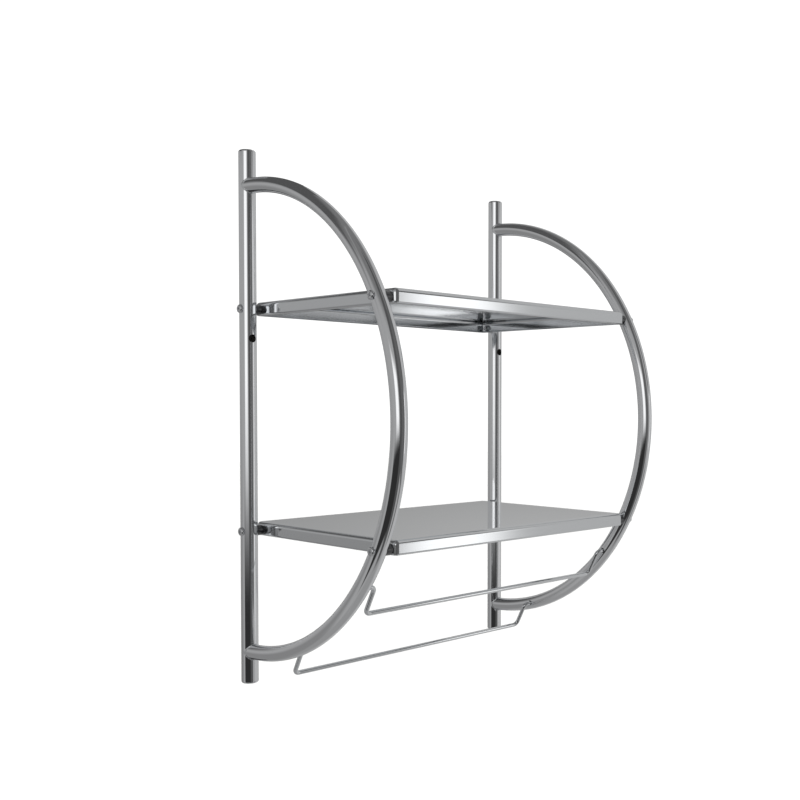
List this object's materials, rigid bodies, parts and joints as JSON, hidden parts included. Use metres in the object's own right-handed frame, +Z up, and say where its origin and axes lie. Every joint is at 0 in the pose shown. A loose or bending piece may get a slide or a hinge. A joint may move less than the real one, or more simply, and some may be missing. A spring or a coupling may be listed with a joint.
{
  "type": "towel rack",
  "caption": "Wall rack of chromed round tube: half-round side bows carry folded-edge sheet shelves, with swinging wire towel bars below",
  "frame": {"origin": "on the wall plane, midway between the two wall screws", "axes": "+X along the wall to the right, +Y into the wall, +Z up"},
  "size_m": [0.4182, 0.2799, 0.6],
  "materials": {
    "chrome_tube": "mirror-polished chrome plate on round steel tube",
    "chrome_cap": "polished chrome plate on a domed plug",
    "chrome_weld": "polished weld bead under the same chrome plate",
    "polished_sheet": "mirror-polished chrome plate on pressed sheet steel",
    "chrome_wire": "polished chrome plate on drawn wire",
    "bright_screw": "nickel-plated screw",
    "zinc_nut": "zinc-plated nut",
    "black_spacer": "black moulded plastic"
  },
  "bodies": {
    "frame": {"left_post": "chrome_tube", "left_bow": "chrome_tube", "left_post_top_cap": "chrome_cap", "left_bow_top_weld": "chrome_weld", "left_post_bottom_cap": "chrome_cap", "left_bow_bottom_weld": "chrome_weld", "right_post": "chrome_tube", "right_bow": "chrome_tube", "right_post_top_cap": "chrome_cap", "right_bow_top_weld": "chrome_weld", "right_post_bottom_cap": "chrome_cap", "right_bow_bottom_weld": "chrome_weld", "upper_shelf": "polished_sheet", "upper_shelf_post_screws": "bright_screw", "upper_shelf_post_spacers": "black_spacer", "upper_shelf_post_nuts": "zinc_nut", "upper_shelf_bow_screws": "bright_screw", "upper_shelf_bow_spacers": "black_spacer", "upper_shelf_bow_nuts": "zinc_nut", "lower_shelf": "polished_sheet", "lower_shelf_post_screws": "bright_screw", "lower_shelf_post_spacers": "black_spacer", "lower_shelf_post_nuts": "zinc_nut", "lower_shelf_bow_screws": "bright_screw", "lower_shelf_bow_spacers": "black_spacer", "lower_shelf_bow_nuts": "zinc_nut"},
    "front_bar": {"front_towel_bar": "chrome_wire"},
    "rear_bar": {"rear_towel_bar": "chrome_wire"}
  },
  "joints": [
    {"name": "front_bar_swing", "type": "hinge", "parent": "frame", "child": "front_bar", "pos_m": [0, -0.21167, -0.25865], "axis": [1, 0, 0], "range_deg": [-180, 127]},
    {"name": "rear_bar_swing", "type": "hinge", "parent": "frame", "child": "rear_bar", "pos_m": [0, -0.0861, -0.34255], "axis": [1, 0, 0], "continuous": true}
  ]
}
